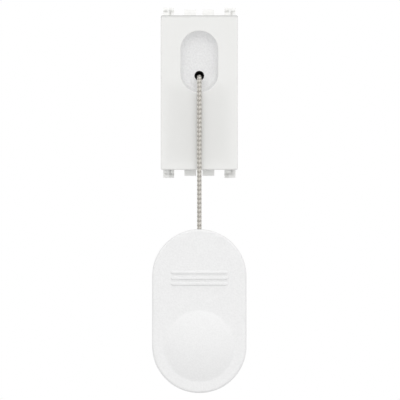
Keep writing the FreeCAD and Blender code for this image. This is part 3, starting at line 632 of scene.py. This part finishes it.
def tab_shell(name, node, facing):
    """Half of the tab: domed skin with a soft edge, hollow inside, with the knot's block and the pegs."""
    radius, edge, wall, half_depth = 13.7, 0.7, 1.2, 3.0
    high_centre = -53.5
    dome, dome_height, hollow_dome = 10.35, 1.8, 10.14
    groove_height, groove_depth, foot = 0.12, 0.06, 0.12
    knot_radius, cord_hole, boss_radius, peg_radius, peg_height = 2.15, 0.95, 1.8, 0.9, 1.4
    bars_middle, bar_pitch = -54.0, 1.65
    skin = TAB_Y + facing * half_depth
    inside = TAB_Y + facing * (half_depth - wall)

    def cap(wide, level):
        ball = (wide ** 2 + dome_height ** 2) / (2 * dome_height)
        steps = 24
        rings = [apex(TAB_LOW_Z, level + facing * dome_height)]
        for i in range(1, steps + 1):
            out = wide * i / steps
            height = math.sqrt(ball ** 2 - out ** 2) - (ball - dome_height)
            rings.append(circle(out, TAB_LOW_Z, level + facing * height))
        return rings

    rings = cap(dome, skin) + [circle(dome + foot, TAB_LOW_Z, skin)]
    for inset, drop in [(edge + 0.15, 0)] + quarter_round(edge, 8):
        rings.append(stadium(radius - inset, TAB_LOW_Z, high_centre, skin - facing * drop))
    for inset, rise in ((0, groove_height), (groove_depth, 0), (wall, 0)):
        rings.append(stadium(radius - inset, TAB_LOW_Z, high_centre, TAB_Y + facing * rise))
    rings.append(stadium(radius - wall, TAB_LOW_Z, high_centre, inside))
    rings += reversed(cap(hollow_dome, inside))
    shell = lofted(name, rings, [MATERIALS["matt_white"]])

    pegs = [(8.6, -54.5), (-8.6, -54.5), (0, -83.0)]
    mid_wall = TAB_Y + facing * (half_depth - wall / 2)
    low_y, high_y = sorted((TAB_Y, mid_wall))
    joined = [block((-4.2, low_y, -48.0), (4.2, high_y, -41.0))]
    joined += [rod("Y", low_y, high_y, boss_radius, across, up) for across, up in pegs]
    cuts = [rod("Z", -46.8, -42.2, knot_radius, 0, TAB_Y), rod("Z", -42.5, -39.0, cord_hole, 0, TAB_Y)]
    peg_tools = [rod("Y", TAB_Y + min(facing, 0) * 0.5, TAB_Y + peg_height, peg_radius, across, up)
                 for across, up in pegs]
    if facing < 0:
        joined += peg_tools + [grip_bar(skin, bars_middle + step * bar_pitch) for step in (-1, 0, 1)]
    else:
        cuts += peg_tools
    carve(shell, "UNION", joined)
    carve(shell, "DIFFERENCE", cuts)
    crisp(shell)
    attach(shell, "pull_tab")
    stand_for(node)


def grip_bar(skin, up):
    """One raised bar with rounded ends and edges."""
    half_width, half_height, height = 8.2, 0.45, 0.35
    rounding, root = 0.25, 0.2
    rings = [apex(up, skin - height)]
    for inset, drop in quarter_round(rounding, 5) + [(0, height + root)]:
        rings.append(outline(half_width - inset, up - half_height + inset, up + half_height - inset,
                             half_height - inset, skin - height + drop))
    rings.append(apex(up, skin + root))
    return lofted("grip", rings, [])


# ---------------------------------------------------------------- pieces kept in their CAD shape

def softened(node, width, look=None):
    """A CAD piece with its sharp edges rounded off, as a mould or a tumbler leaves them."""
    bm = bmesh.new()
    bm.from_mesh(frame["nodes"][node].data)
    bmesh.ops.remove_doubles(bm, verts=bm.verts, dist=1e-6)
    bmesh.ops.dissolve_limit(bm, angle_limit=math.radians(0.5), verts=bm.verts, edges=bm.edges)
    piece = finished(f"{node}_finished", bm, MATERIALS[look or NODE_SLOTS[node]])
    bevel = piece.modifiers.new("soft_edges", "BEVEL")
    bevel.width = width * MM
    bevel.segments = 3
    bevel.limit_method = "ANGLE"
    bevel.angle_limit = math.radians(40)
    settle(piece)
    crisp(piece)
    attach(piece, body_of(node))
    stand_for(node)


# ---------------------------------------------------------------- springs

def spring(node, name, front, rear, coil, wire, turns):
    """A compression spring with closed ends, coiled between the given front and rear places."""
    height_z = -9.3
    steps_per_turn = 40
    dead_turns, coil_gap = 0.9, 1.02
    total = turns + 2 * dead_turns
    clear = 2 * wire * coil_gap * dead_turns
    first, last = front + wire, rear - wire
    line = []
    for i in range(int(total * steps_per_turn) + 1):
        turn = i / steps_per_turn
        if turn < dead_turns:
            y = first + clear * turn / dead_turns
        elif turn > total - dead_turns:
            y = last - clear * (total - turn) / dead_turns
        else:
            y = first + clear + (last - first - 2 * clear) * (turn - dead_turns) / turns
        angle = 2 * math.pi * turn
        line.append(Vector((coil * math.cos(angle), y, height_z + coil * math.sin(angle))) * MM)
    bm = bmesh.new()
    sweep(bm, line, wire * MM, sides=12)
    coil_piece = finished(name, bm, MATERIALS["spring_steel"], 40)
    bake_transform(coil_piece)
    stand_for(node)


# ---------------------------------------------------------------- floor and light

def set_stage():
    """A plain pale floor well below the tab, out of the front picture."""
    half, floor_z = 3000, -250
    bm = bmesh.new()
    corners = [(-half, -half), (half, -half), (half, half), (-half, half)]
    bm.faces.new([bm.verts.new(Vector((x, y, floor_z)) * MM) for x, y in corners])
    floor = finished("floor", bm, moulded("floor_paint", (0.8, 0.8, 0.8), 0.8, 3.0, 0.02))


def dark_card():
    """A small dark card on the camera's line, unseen by it, which the polished face mirrors."""
    left, right, low, high, ahead = -10.6, 9.5, -18.6, 6.5, 350
    bm = bmesh.new()
    corners = [(left, low), (right, low), (right, high), (left, high)]
    bm.faces.new([bm.verts.new(Vector((x, FACE_Y - ahead, z)) * MM) for x, z in corners])
    card = finished("card", bm, material("card_black", (0.01, 0.01, 0.01), 0.9))
    card.visible_camera = False


def set_world():
    """White to the eye; as light, strongest in front and above and dimmer towards the back."""
    strongest_from = Vector((0.08, -0.95, 0.3)).normalized()
    world = bpy.data.worlds.new("studio")
    bpy.context.scene.world = world
    world.use_nodes = True
    nodes, links = world.node_tree.nodes, world.node_tree.links
    place = nodes.new("ShaderNodeTexCoord")
    facing = nodes.new("ShaderNodeVectorMath")
    facing.operation = "DOT_PRODUCT"
    facing.inputs[1].default_value = strongest_from
    ramp = nodes.new("ShaderNodeMapRange")
    ramp.interpolation_type = "SMOOTHSTEP"
    ramp.inputs["From Min"].default_value = -0.5
    ramp.inputs["From Max"].default_value = 1.0
    ramp.inputs["To Min"].default_value = 0.5
    ramp.inputs["To Max"].default_value = 1.36
    glow = nodes["Background"]
    plain = nodes.new("ShaderNodeBackground")
    path = nodes.new("ShaderNodeLightPath")
    mix = nodes.new("ShaderNodeMixShader")
    links.new(place.outputs["Generated"], facing.inputs[0])
    links.new(facing.outputs["Value"], ramp.inputs["Value"])
    links.new(ramp.outputs["Result"], glow.inputs["Strength"])
    glow.inputs["Color"].default_value = (1, 1, 1, 1)
    plain.inputs["Color"].default_value = (1, 1, 1, 1)
    links.new(path.outputs["Is Camera Ray"], mix.inputs["Fac"])
    links.new(glow.outputs["Background"], mix.inputs[1])
    links.new(plain.outputs["Background"], mix.inputs[2])
    links.new(mix.outputs["Shader"], nodes["World Output"].inputs["Surface"])


def soft_light(name, place, size, power):
    """A square soft box aimed at the middle of the object."""
    lamp = bpy.data.lights.new(name, "AREA")
    lamp.shape = "SQUARE"
    lamp.size = size
    lamp.energy = power
    holder = bpy.data.objects.new(name, lamp)
    bpy.context.scene.collection.objects.link(holder)
    holder.location = place
    middle = Vector((0, 0, -0.03))
    aim = middle - Vector(place)
    holder.rotation_euler = aim.to_track_quat("-Z", "Y").to_euler()


hanging_cord()
inner_cord()
front_cover()
cord_bush()
tab_shell("tab_front", "tab_front_shell", -1)
tab_shell("tab_rear", "tab_rear_shell", 1)
spring("return_spring", "return_coil", front=15.4, rear=24.0, coil=1.7, wire=0.25, turns=5.4)
spring("contact_spring", "contact_coil", front=7.85, rear=13.4, coil=1.4, wire=0.2, turns=3.6)
# The frame takes the lighter white, painted light against the shade behind the cover.
softened("clip_frame", 0.1, "frame_white_painted_light")
for plastic_node in ("rear_housing", "terminal_base", "lever", "plunger"):
    softened(plastic_node, 0.12)
for metal_node in ("lever_pin", "contact_bridge", "bridge_contacts", "fixed_contacts", "upper_terminal_bar",
                   "lower_terminal_bar", "clamp_saddles", "terminal_screws"):
    softened(metal_node, 0.06)

set_stage()
dark_card()
set_world()
soft_light("key", (0.5, -1.0, 0.6), 0.4, 0.2)
